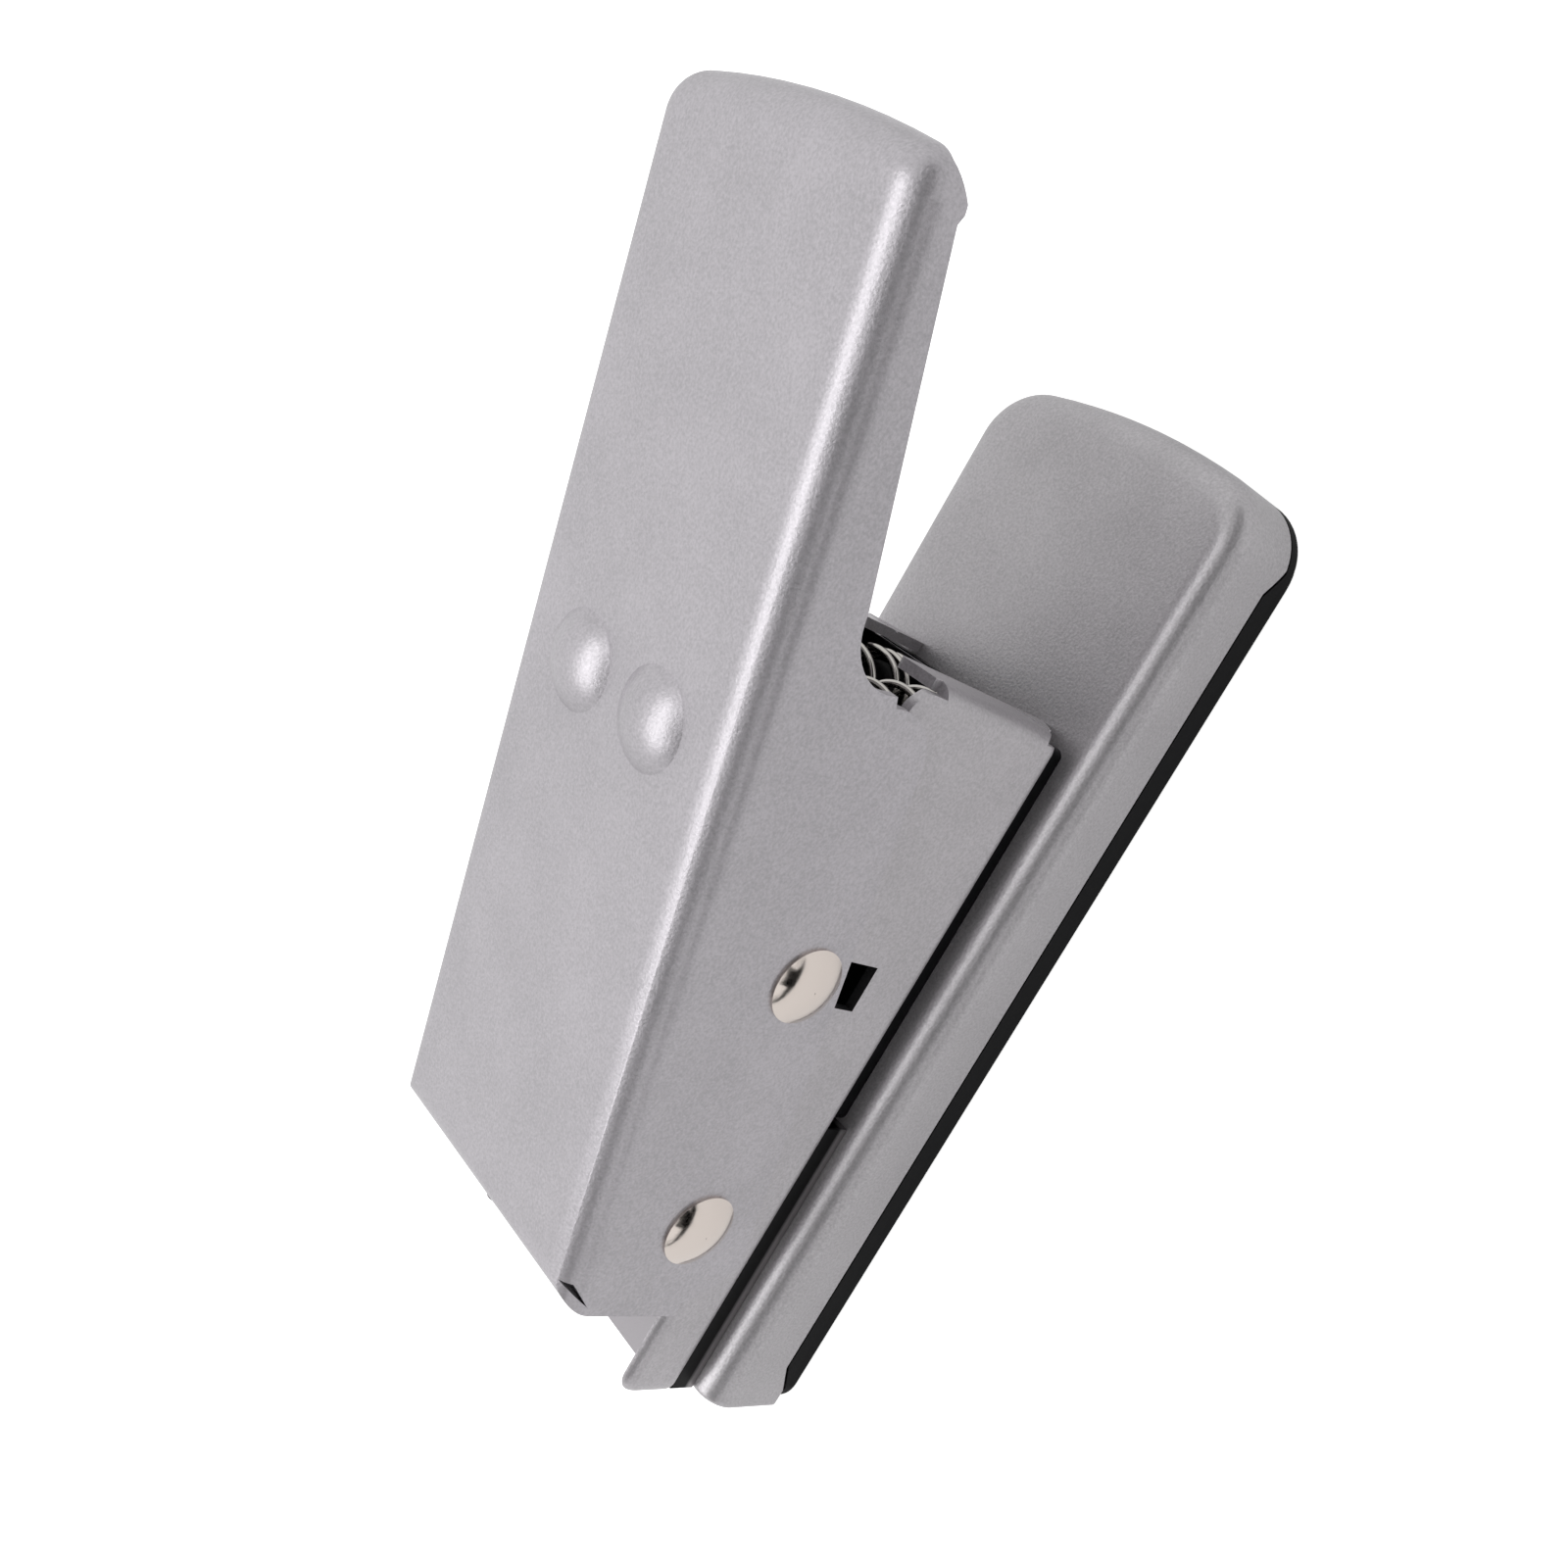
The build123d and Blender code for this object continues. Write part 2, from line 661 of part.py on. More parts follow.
def make_guide_block():
    """Moulded guide round the punch, with a lower step in front that carries the springs."""
    half = frame_inner_y - guide_side_gap
    step_x = punch_x + pick_length / 2 + cut_gap + guide_wall
    guide = block(guide_rear_x, step_x, -half, half, floor_top_z, guide_top_z)
    guide += block(guide_rear_x, guide_front_x, -half, half, floor_top_z, step_top_z)
    low = [edge for edge in guide.edges().filter_by(Axis.X) if edge.center().Z < seat_z]
    guide = chamfer(low, length=frame_fold_r - frame_sheet)
    guide -= pick_bar(floor_top_z - cut_over, guide_top_z + cut_over, cut_gap)
    for side in (-1, 1):
        well_d = spring_outer_d + 2 * well_side_gap
        guide -= rod_z(spring_foot_x, side * spring_side_y, seat_z, step_top_z + cut_over, well_d)
        boss = rod_z(spring_foot_x, side * spring_side_y, floor_top_z, seat_z + seat_boss_height, seat_boss_d)
        boss = fillet(boss.edges().group_by(Axis.Z)[-1], radius=seat_boss_round)
        guide += boss
    for x, y in screw_places():
        guide -= guide_screw(x, y, rivet_hole_gap)
    return guide


def make_punch():
    """Ram with the pick's outline, and a lug whose cross hole takes the drive pin."""
    ram_top = punch_bottom_z + punch_ram_height
    lug_top = pin_rest_z + lug_above_pin
    punch = pick_bar(punch_bottom_z, ram_top, 0)
    lug = block(
        punch_x - lug_length / 2,
        punch_x + lug_length / 2,
        -lug_width / 2,
        lug_width / 2,
        ram_top - punch_ram_height / 2,
        lug_top,
    )
    lug = fillet(lug.edges().filter_by(Axis.Y).group_by(Axis.Z)[-1], radius=lug_top_round)
    punch += lug & (pick_bar(punch_bottom_z, lug_top + cut_over, 0))
    hole_half = (pin_far_x - pin_rest_x) / 2
    hole_d = drive_pin_d + 2 * cross_hole_gap
    for shift in (-hole_half, hole_half):
        punch -= rod_y(punch_x + shift, pin_rest_z, pick_width + cut_over, hole_d)
    punch -= block(
        punch_x - hole_half,
        punch_x + hole_half,
        -(pick_width + cut_over) / 2,
        (pick_width + cut_over) / 2,
        pin_rest_z - hole_d / 2,
        pin_rest_z + hole_d / 2,
    )
    return punch


def make_pivot_tube():
    """Distance tube on the pivot pin, between the frame's panels."""
    length = 2 * (frame_inner_y - pivot_tube_end_gap)
    bore = pivot_pin_d + 2 * running_gap
    return rod_y(pivot_x, pivot_z, length, bore + 2 * pivot_tube_wall) - rod_y(
        pivot_x, pivot_z, length + cut_over, bore
    )


def lever_side_profile():
    """Side view of the lever in its own frame, u to the free end and w away from the base."""
    lean = math.radians(lever_rear_lean_deg)
    foot_u = lever_rear_u - (lever_top_w - lever_rear_foot_w) * math.tan(lean)
    bend = math.pi / 2 - lean
    run = lever_rear_bend_r * math.tan(bend / 2)
    bend_start = (lever_rear_u + run, lever_top_w)
    bend_end = (lever_rear_u - run * math.sin(lean), lever_top_w - run * math.cos(lean))
    bend_mid = (
        bend_start[0] - lever_rear_bend_r * math.sin(bend / 2),
        lever_top_w - lever_rear_bend_r * (1 - math.cos(bend / 2)),
    )
    step_u = foot_u + lever_heel_step
    heel_r = math.hypot(step_u, lever_rear_foot_w)
    heel_end_u = -math.sqrt(heel_r**2 - lever_panel_bottom_w**2)
    heel_start = math.atan2(-lever_rear_foot_w, -step_u)
    heel_stop = math.atan2(-lever_panel_bottom_w, -heel_end_u)
    heel_mid = math.pi + (heel_start + heel_stop) / 2
    rise = math.tan(math.radians(handle_bottom_rise_deg))
    notch_start_u = panel_front_u + panel_front_lean + notch_r
    notch_top_w = handle_bottom_start_w
    notch_end = (panel_front_u + panel_front_lean / 2, notch_top_w - notch_r)
    notch_mid = (
        notch_end[0] + notch_r * (1 - math.sqrt(1 / 2)),
        notch_end[1] + notch_r * math.sqrt(1 / 2),
    )
    corner_start = (panel_front_u - panel_front_lean / 2, lever_panel_bottom_w + panel_corner_r)
    corner_end = (corner_start[0] - panel_corner_r, lever_panel_bottom_w)
    corner_mid = (
        corner_start[0] - panel_corner_r * (1 - math.sqrt(1 / 2)),
        lever_panel_bottom_w + panel_corner_r * (1 - math.sqrt(1 / 2)),
    )
    handle_end_w = notch_top_w + (handle_bottom_end_u - ear_length - notch_start_u) * rise
    lip_w = lever_top_w - end_lip_depth
    past_end = lever_free_end_u + cut_over
    edges = Line(xz(*bend_start), xz(past_end, lever_top_w))
    edges += Line(xz(past_end, lever_top_w), xz(past_end, lip_w))
    edges += Line(xz(past_end, lip_w), xz(handle_bottom_end_u + end_lip_ramp, lip_w))
    edges += Line(xz(handle_bottom_end_u + end_lip_ramp, lip_w), xz(handle_bottom_end_u, handle_end_w - ear_drop))
    edges += Line(
        xz(handle_bottom_end_u, handle_end_w - ear_drop),
        xz(handle_bottom_end_u - ear_length / 2, handle_end_w - ear_drop),
    )
    edges += Line(
        xz(handle_bottom_end_u - ear_length / 2, handle_end_w - ear_drop),
        xz(handle_bottom_end_u - ear_length, handle_end_w),
    )
    edges += Line(xz(handle_bottom_end_u - ear_length, handle_end_w), xz(notch_start_u, notch_top_w))
    edges += ThreePointArc(xz(notch_start_u, notch_top_w), xz(*notch_mid), xz(*notch_end))
    edges += Line(xz(*notch_end), xz(*corner_start))
    edges += ThreePointArc(xz(*corner_start), xz(*corner_mid), xz(*corner_end))
    edges += Line(xz(*corner_end), xz(heel_end_u, lever_panel_bottom_w))
    edges += ThreePointArc(
        xz(heel_end_u, lever_panel_bottom_w),
        xz(heel_r * math.cos(heel_mid), heel_r * math.sin(heel_mid)),
        xz(step_u, lever_rear_foot_w),
    )
    edges += Line(xz(step_u, lever_rear_foot_w), xz(foot_u, lever_rear_foot_w))
    edges += Line(xz(foot_u, lever_rear_foot_w), xz(*bend_end))
    edges += ThreePointArc(xz(*bend_end), xz(*bend_mid), xz(*bend_start))
    return make_face(edges)


def lever_rear_room():
    """Side view of the lever's hollow, one sheet inside its top and its rear flange."""
    lean = math.radians(lever_rear_lean_deg)
    top_w = lever_top_w - lever_sheet
    inner_r = lever_rear_bend_r - lever_sheet
    bend = math.pi / 2 - lean
    corner_u = lever_rear_u + lever_sheet / math.cos(lean) - lever_sheet * math.tan(lean)
    run = inner_r * math.tan(bend / 2)
    start = (corner_u + run, top_w)
    end = (corner_u - run * math.sin(lean), top_w - run * math.cos(lean))
    mid = (start[0] - inner_r * math.sin(bend / 2), top_w - inner_r * (1 - math.cos(bend / 2)))
    low_w = lever_panel_bottom_w - cut_over
    low_u = corner_u - (top_w - low_w) * math.tan(lean)
    past_end = lever_free_end_u + cut_over
    edges = Line(xz(*start), xz(past_end, top_w)) + Line(xz(past_end, top_w), xz(past_end, low_w))
    edges += Line(xz(past_end, low_w), xz(low_u, low_w)) + Line(xz(low_u, low_w), xz(*end))
    edges += ThreePointArc(xz(*end), xz(*mid), xz(*start))
    return make_face(edges)


def lever_plan(inset, bottom_w, top_w):
    """Bar with the lever's plan outline and a rounded upper rim."""
    width = lever_width - 2 * inset
    rear_u = lever_rear_u - lever_top_w
    face = convex_outline(
        rear_u, lever_free_end_u - inset, width, lever_end_r - inset, lever_corner_r - inset
    )
    bar = extrude(Pos(0, 0, bottom_w) * face, amount=top_w - bottom_w)
    rim = bar.edges().group_by(Axis.Z)[-1].sort_by(Axis.X)[1:]
    return fillet(rim, radius=lever_fold_r - inset)


def make_lever():
    """Pressed lever: top, side panels with their notch, rear flange and end lip."""
    low_w = lever_panel_bottom_w - cut_over
    outer = lever_plan(0, low_w, lever_top_w) & across(lever_side_profile(), lever_width + cut_over)
    inner = lever_plan(lever_sheet, low_w, lever_top_w - lever_sheet) & across(
        lever_rear_room(), lever_width + cut_over
    )
    lever = outer - inner
    inner_y = lever_width / 2 - lever_sheet
    rear_u = lever_rear_u - lever_top_w
    lever -= block(rear_u, lever_rear_u / 2, -inner_y, inner_y, low_w, rear_flange_foot_w)
    for side in (-1, 1):
        lever -= corner_relief(side)
    for u, w, diameter in ((0, 0, pivot_pin_d), (drive_u, drive_w, drive_pin_d)):
        lever -= rod_y(u, w, lever_width + cut_over, diameter + 2 * running_gap)
    for side in (-1, 1):
        hole = stud_shank_d + 2 * running_gap
        lever -= rod_z(spring_u, side * spring_side_y, lever_fold_r, lever_top_w + cut_over, hole)
    return lever_rest * lever


def corner_relief(side):
    """Triangular relief where a side panel, the top and the rear flange meet."""
    relief_top_w = lever_top_w - relief_drop
    outline = [
        (relief_front_u, relief_top_w),
        (relief_front_u, relief_top_w - relief_width),
        (relief_front_u - relief_length, relief_top_w - relief_height),
    ]
    depth = lever_sheet + lever_fold_r / 2
    prism = extrude(ring(outline), amount=depth, dir=(0, -side, 0))
    return Pos(0, side * (lever_width / 2 + running_gap), 0) * prism


def cross_pin(u, w, diameter):
    """Headed pin across the lever, riveted over at both sides."""
    pin = rod_y(u, w, lever_width, diameter)
    for side in (-1, 1):
        head = Rot(-90 * side, 0, 0) * dome(pin_head_d, pin_head_rim, pin_head_height)
        pin += Pos(u, side * lever_width / 2, w) * head
    return lever_rest * pin


def spring_stud(side):
    """Stud riveted through the lever's top: round head outside, spring pilot inside."""
    under_w = lever_top_w - lever_sheet
    stud = rod_z(spring_u, side * spring_side_y, under_w, lever_top_w, stud_shank_d)
    stud += Pos(spring_u, side * spring_side_y, lever_top_w) * dome(stud_head_d, stud_head_rim, stud_head_height)
    pilot = rod_z(spring_u, side * spring_side_y, under_w - stud_pilot_height, under_w, stud_pilot_d)
    stud += fillet(pilot.edges().group_by(Axis.Z)[0], radius=seat_boss_round)
    return lever_rest * stud


def lever_point(u, w):
    """Place in the build frame of a point on the lever's middle plane, at rest."""
    angle = math.radians(lever_open_deg)
    x = pivot_x + u * math.cos(angle) - w * math.sin(angle)
    return x, pivot_z + u * math.sin(angle) + w * math.cos(angle)


# The spring's axis is upright at its foot, square to the lever at its head and smoothly bent between
spring_head_x, spring_head_z = lever_point(spring_u, lever_top_w - lever_sheet)
spring_lean = math.radians(lever_open_deg)
spring_length = math.hypot(spring_foot_x - spring_head_x, spring_head_z - seat_z)


def axis_frame(distance, side):
    """Axis point, upward direction and outward direction at a distance up the spring."""
    t = distance / spring_length
    foot = Vector(spring_foot_x, side * spring_side_y, seat_z)
    head = Vector(spring_head_x, side * spring_side_y, spring_head_z)
    foot_way = Vector(0, 0, spring_length)
    head_way = Vector(-math.sin(spring_lean), 0, math.cos(spring_lean)) * spring_length
    climb = t**2 * (3 - 2 * t)
    point = foot * (1 - climb) + head * climb
    point += foot_way * (t * (1 - t) ** 2) - head_way * (t**2 * (1 - t))
    upward = (head - foot) * (6 * t * (1 - t))
    upward += foot_way * ((1 - t) * (1 - 3 * t)) - head_way * (t * (2 - 3 * t))
    upward = upward.normalized()
    outward = Vector(upward.Z, 0, -upward.X)
    return point, upward, outward


def coil_height(turn):
    """Height of the wire's centre up the axis after a number of turns, closer at both ends."""
    low = wire_d / 2
    ends = foot_pitch * (min(turn, 1) + max(turn - coil_turns + 1, 0))
    ends += next_pitch * min(max(turn - 1, 0), 1)
    open_turns = coil_turns - 3
    open_height = spring_length - wire_d - 2 * foot_pitch - next_pitch
    return low + ends + open_height * min(max(turn - 2, 0), open_turns) / open_turns


def coil_point(turn, side):
    """Centre of the wire after a number of turns."""
    point, _, outward = axis_frame(coil_height(turn), side)
    angle = 2 * math.pi * turn + math.radians(coil_start_deg)
    across_y = Vector(0, 1, 0)
    return point + (outward * math.cos(angle) + across_y * math.sin(angle)) * (coil_mean_d / 2)


def coil_direction(turn, side):
    """Direction of the wire after a number of turns, from a short step along it."""
    step = 1e-4
    low = max(turn - step, 0)
    high = min(turn + step, coil_turns)
    return (coil_point(high, side) - coil_point(low, side)).normalized()


def biarc(p1, t1, p2, t2):
    """Two arcs that join two points with the given directions."""
    chord = p2 - p1
    total = t1 + t2
    spread = 2 * (1 - t1.dot(t2))
    root = math.sqrt(chord.dot(total) ** 2 + spread * chord.dot(chord))
    reach = (root - chord.dot(total)) / spread
    q1 = p1 + t1 * reach
    q2 = p2 - t2 * reach
    middle = (q1 + q2) * 0.5
    return [TangentArc(p1, middle, tangent=t1), TangentArc(middle, p2, tangent=q2 - q1)]


def make_spring(side):
    """Round wire wound on the bent axis, with closer turns at both ends."""
    edges = []
    for half in range(2 * coil_turns):
        here = half / 2
        there = (half + 1) / 2
        edges += biarc(
            coil_point(here, side), coil_direction(here, side), coil_point(there, side), coil_direction(there, side)
        )
    section = Plane(origin=coil_point(0, side), z_dir=coil_direction(0, side)) * Circle(wire_d / 2)
    spring = sweep(section, path=Wire(edges))
    print_coil_gap(edges, side)
    return spring


def print_coil_gap(edges, side):
    """Print the least clear distance between turns, measured on points of the wire's centre line."""
    per_edge = 12
    points = [edge @ (k / per_edge) for edge in edges for k in range(per_edge)]
    apart = 3 * per_edge
    least = min(
        (points[i] - points[j]).length for i in range(len(points)) for j in range(i + apart, len(points))
    )
    print(f"spring {side}: least gap to itself {least - wire_d:.2f} mm, {coil_turns} turns")


def main():
    """Build every piece and write it."""
    os.makedirs("parts", exist_ok=True)
    save("base_shell", make_base_shell())
    save("bottom_tray", make_bottom_tray())
    save("die_plate", make_die_plate())
    save("slot_spacer", make_slot_spacer())
    save("frame", make_frame())
    save("guide_block", make_guide_block())
    save("punch", make_punch())
    save("pivot_tube", make_pivot_tube())
    save("lever", make_lever())
    save("pivot_pin", cross_pin(0, 0, pivot_pin_d))
    save("drive_pin", cross_pin(drive_u, drive_w, drive_pin_d))
    for number, (x, y) in enumerate(rivet_places(), 1):
        save(f"frame_rivet_{number}", round_rivet(x, y, base_top_z - base_sheet, floor_top_z))
    for number, (x, y) in enumerate(die_rivet_places(), 1):
        save(f"die_rivet_{number}", flush_rivet(x, y, 0))
    for number, (x, y) in enumerate(screw_places(), 1):
        save(f"guide_screw_{number}", guide_screw(x, y, 0))
    for name, side in (("near", -1), ("far", 1)):
        save(f"spring_stud_{name}", spring_stud(side))
        save(f"spring_{name}", make_spring(side))
    print(f"punch travel {punch_travel:.2f} mm, frame bottom {frame_bottom_z:.2f}, pivot {pivot_z:.2f}")


main()
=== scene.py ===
"""Looks of a hand-held plectrum punch: satin grey painted steel, nickel pins and a black tray."""

import logging
import math
from dataclasses import dataclass
from enum import Enum

import bmesh
import bpy
import numpy as np
from mathutils import Matrix, Vector


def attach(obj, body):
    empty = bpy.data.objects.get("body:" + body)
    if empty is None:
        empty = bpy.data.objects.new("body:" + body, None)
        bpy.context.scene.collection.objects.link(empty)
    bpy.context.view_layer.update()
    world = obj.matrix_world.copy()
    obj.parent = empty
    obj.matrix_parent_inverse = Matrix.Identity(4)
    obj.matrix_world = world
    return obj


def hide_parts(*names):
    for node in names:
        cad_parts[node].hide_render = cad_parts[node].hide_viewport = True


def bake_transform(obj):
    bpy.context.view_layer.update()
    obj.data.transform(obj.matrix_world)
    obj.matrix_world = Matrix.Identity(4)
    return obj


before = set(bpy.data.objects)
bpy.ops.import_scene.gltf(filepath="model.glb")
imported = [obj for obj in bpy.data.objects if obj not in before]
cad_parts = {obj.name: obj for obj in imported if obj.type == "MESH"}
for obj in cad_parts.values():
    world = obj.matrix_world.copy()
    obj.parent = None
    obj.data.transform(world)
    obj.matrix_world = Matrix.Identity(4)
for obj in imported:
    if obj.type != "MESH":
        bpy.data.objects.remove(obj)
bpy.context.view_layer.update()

LOG = logging.getLogger("scene")
MM = 0.001

# How high the fine bumps of paint, plastic and metal stand at full strength
BUMP_MM = 0.05

# How near two points of a CAD mesh are joined, and from which angle an edge stays sharp
WELD_MM = 0.001
SHARP_DEG = 30.0

# From which angle an edge of a softened piece is rounded, and in how many steps
ROUND_FROM_DEG = 40.0
ROUND_STEPS = 2

# Numbers of the math and mix nodes' sockets, which share their names
VALUE = 0
FACTOR = 1
ADDEND = 2
MIX_SHARE = 0
MIX_FIRST = 6
MIX_SECOND = 7
MIX_RESULT = 2

Colour = tuple[float, float, float, float]
Place = tuple[float, float, float]


class Body(Enum):
    """The bodies of the punch that softened pieces ride on."""

    BASE = "base"
    LEVER = "lever"
    TRAY = "tray"


class Side(Enum):
    """The two sides of the punch, by the words in the names of its springs and studs."""

    NEAR = "near"
    FAR = "far"


def linear(hex_colour: str) -> Colour:
    """Turn an sRGB hex colour into linear light.

    A channel c up to 0.04045 becomes c / 12.92, and a higher one ((c + 0.055) / 1.055) to the power 2.4.

    Args:
        hex_colour: Six hex digits after a hash sign.

    Returns:
        Red, green, blue and an opaque alpha.
    """
    digits = hex_colour.lstrip("#")
    channels = [int(digits[k : k + 2], 16) / 255 for k in (0, 2, 4)]
    light = [c / 12.92 if c <= 0.04045 else ((c + 0.055) / 1.055) ** 2.4 for c in channels]
    return (light[0], light[1], light[2], 1.0)


def add(
    tree: bpy.types.NodeTree,
    kind: str,
    settings: dict[str | int, object] | None = None,
    links: dict[str | int, bpy.types.NodeSocket] | None = None,
) -> bpy.types.Node:
    """Add one node with its settings and links.

    Args:
        tree: Node tree that takes the node.
        kind: Type name of the node.
        settings: Values by the name or the number of an input, or by attribute name where none has it.
        links: Output sockets by the name or the number of the input that they feed.

    Returns:
        The new node.
    """
    node = tree.nodes.new(kind)
    for name, value in (settings or {}).items():
        if isinstance(name, int) or name in node.inputs:
            node.inputs[name].default_value = value
        else:
            setattr(node, name, value)
    for name, socket in (links or {}).items():
        tree.links.new(socket, node.inputs[name])
    return node


def clear_tree(material: bpy.types.Material) -> bpy.types.NodeTree:
    """Give a material an empty node tree.

    Args:
        material: Material that takes it.

    Returns:
        The tree.
    """
    material.use_nodes = True
    material.node_tree.nodes.clear()
    return material.node_tree


def fade(
    tree: bpy.types.NodeTree,
    along: bpy.types.NodeSocket,
    span_mm: tuple[float, float],
    first: Colour | bpy.types.NodeSocket,
    second: Colour | bpy.types.NodeSocket,
) -> bpy.types.NodeSocket:
    """Blend from one colour to another along an axis of the punch.

    The second colour's share is (place - start) / (end - start), held between 0 and 1.

    Args:
        tree: Node tree of the finish.
        along: Output that gives the place along the axis.
        span_mm: Where the blend starts and where it ends.
        first: Colour before the start, or the output that gives it.
        second: Colour past the end, or the output that gives it.

    Returns:
        The output that gives the blended colour.
    """
    start, end = span_mm
    share = add(tree, "ShaderNodeMapRange", {"From Min": start * MM, "From Max": end * MM}, {"Value": along})
    settings: dict[str | int, object] = {"data_type": "RGBA"}
    links = {MIX_SHARE: share.outputs["Result"]}
    for socket, colour in ((MIX_FIRST, first), (MIX_SECOND, second)):
        if isinstance(colour, tuple):
            settings[socket] = colour
        else:
            links[socket] = colour
    return add(tree, "ShaderNodeMix", settings, links).outputs[MIX_RESULT]


@dataclass(frozen=True)
class SprayedPaint:
    """Metallic acrylic lacquer sprayed on pressed steel: satin, with fine flakes that sparkle a little.

    Real flakes are a few hundredths of a millimetre wide, too fine to show in the render. They are drawn
    as coarse as they need to be to show. Where a rear colour is given, the coat has the rear's colour,
    which turns to its own between two places along X.
    """

    name: str
    colour: str
    shade: str
    metallic: float = 0.6
    roughness: float = 0.37
    coat: float = 0.2
    coat_roughness: float = 0.2
    flake_mm: float = 0.3
    flake_detail: float = 2.0
    flake_roughness: float = 0.6
    flake_weight: float = 3.0
    flake_bump: float = 0.6
    cloud_mm: float = 9.0
    cloud_detail: float = 3.0
    tone_range: tuple[float, float] = (1.4, 2.6)
    rear_colour: str = "#B9B5B9"
    rear_x_mm: tuple[float, float] | None = None

    def material(self) -> bpy.types.Material:
        """Build the lacquer: two near tones in flakes and small clouds, and a fine bump.

        The tone is the flakes' noise times its weight, plus the clouds' noise, spread over the tone range.

        Returns:
            The material.
        """
        material = bpy.data.materials.new(self.name)
        tree = clear_tree(material)
        place = add(tree, "ShaderNodeTexCoord").outputs["Object"]
        flakes = add(
            tree,
            "ShaderNodeTexNoise",
            {
                "Scale": 1 / (self.flake_mm * MM),
                "Detail": self.flake_detail,
                "Roughness": self.flake_roughness,
            },
            {"Vector": place},
        )
        clouds = add(
            tree,
            "ShaderNodeTexNoise",
            {"Scale": 1 / (self.cloud_mm * MM), "Detail": self.cloud_detail},
            {"Vector": place},
        )
        tone = add(
            tree,
            "ShaderNodeMath",
            {"operation": "MULTIPLY_ADD", FACTOR: self.flake_weight},
            {VALUE: flakes.outputs["Fac"], ADDEND: clouds.outputs["Fac"]},
        )
        low, high = self.tone_range
        spread = add(
            tree, "ShaderNodeMapRange", {"From Min": low, "From Max": high}, {"Value": tone.outputs["Value"]}
        )
        mixed = add(
            tree,
            "ShaderNodeMix",
            {"data_type": "RGBA", MIX_FIRST: linear(self.shade), MIX_SECOND: linear(self.colour)},
            {MIX_SHARE: spread.outputs["Result"]},
        )
        tint = mixed.outputs[MIX_RESULT]
        if self.rear_x_mm:
            along = add(tree, "ShaderNodeSeparateXYZ", None, {"Vector": place}).outputs["X"]
            tint = fade(tree, along, self.rear_x_mm, linear(self.rear_colour), tint)
        bump = add(
            tree,
            "ShaderNodeBump",
            {"Strength": self.flake_bump, "Distance": BUMP_MM * MM},
            {"Height": flakes.outputs["Fac"]},
        )
        shader = add(
            tree,
            "ShaderNodeBsdfPrincipled",
            {
                "Metallic": self.metallic,
                "Roughness": self.roughness,
                "Coat Weight": self.coat,
                "Coat Roughness": self.coat_roughness,
            },
            {"Base Color": tint, "Normal": bump.outputs["Normal"]},
        )
        add(tree, "ShaderNodeOutputMaterial", None, {"Surface": shader.outputs["BSDF"]})
        return material


@dataclass(frozen=True)
class MouldedPlastic:
    """Injection-moulded plastic: black, matte, with a faint spark-eroded grain."""

    name: str
    colour: str
    roughness: float = 0.6
    specular: float = 0.12
    grain_mm: float = 0.4
    grain_detail: float = 2.0
    grain_bump: float = 0.15

    def material(self) -> bpy.types.Material:
        """Build the moulded black: one colour and a fine noise bump.

        Returns:
            The material.
        """
        material = bpy.data.materials.new(self.name)
        tree = clear_tree(material)
        place = add(tree, "ShaderNodeTexCoord").outputs["Object"]
        grain = add(
            tree,
            "ShaderNodeTexNoise",
            {"Scale": 1 / (self.grain_mm * MM), "Detail": self.grain_detail},
            {"Vector": place},
        )
        bump = add(
            tree,
            "ShaderNodeBump",
            {"Strength": self.grain_bump, "Distance": BUMP_MM * MM},
            {"Height": grain.outputs["Fac"]},
        )
        shader = add(
            tree,
            "ShaderNodeBsdfPrincipled",
            {
                "Base Color": linear(self.colour),
                "Roughness": self.roughness,
                "Specular IOR Level": self.specular,
            },
            {"Normal": bump.outputs["Normal"]},
        )
        add(tree, "ShaderNodeOutputMaterial", None, {"Surface": shader.outputs["BSDF"]})
        return material


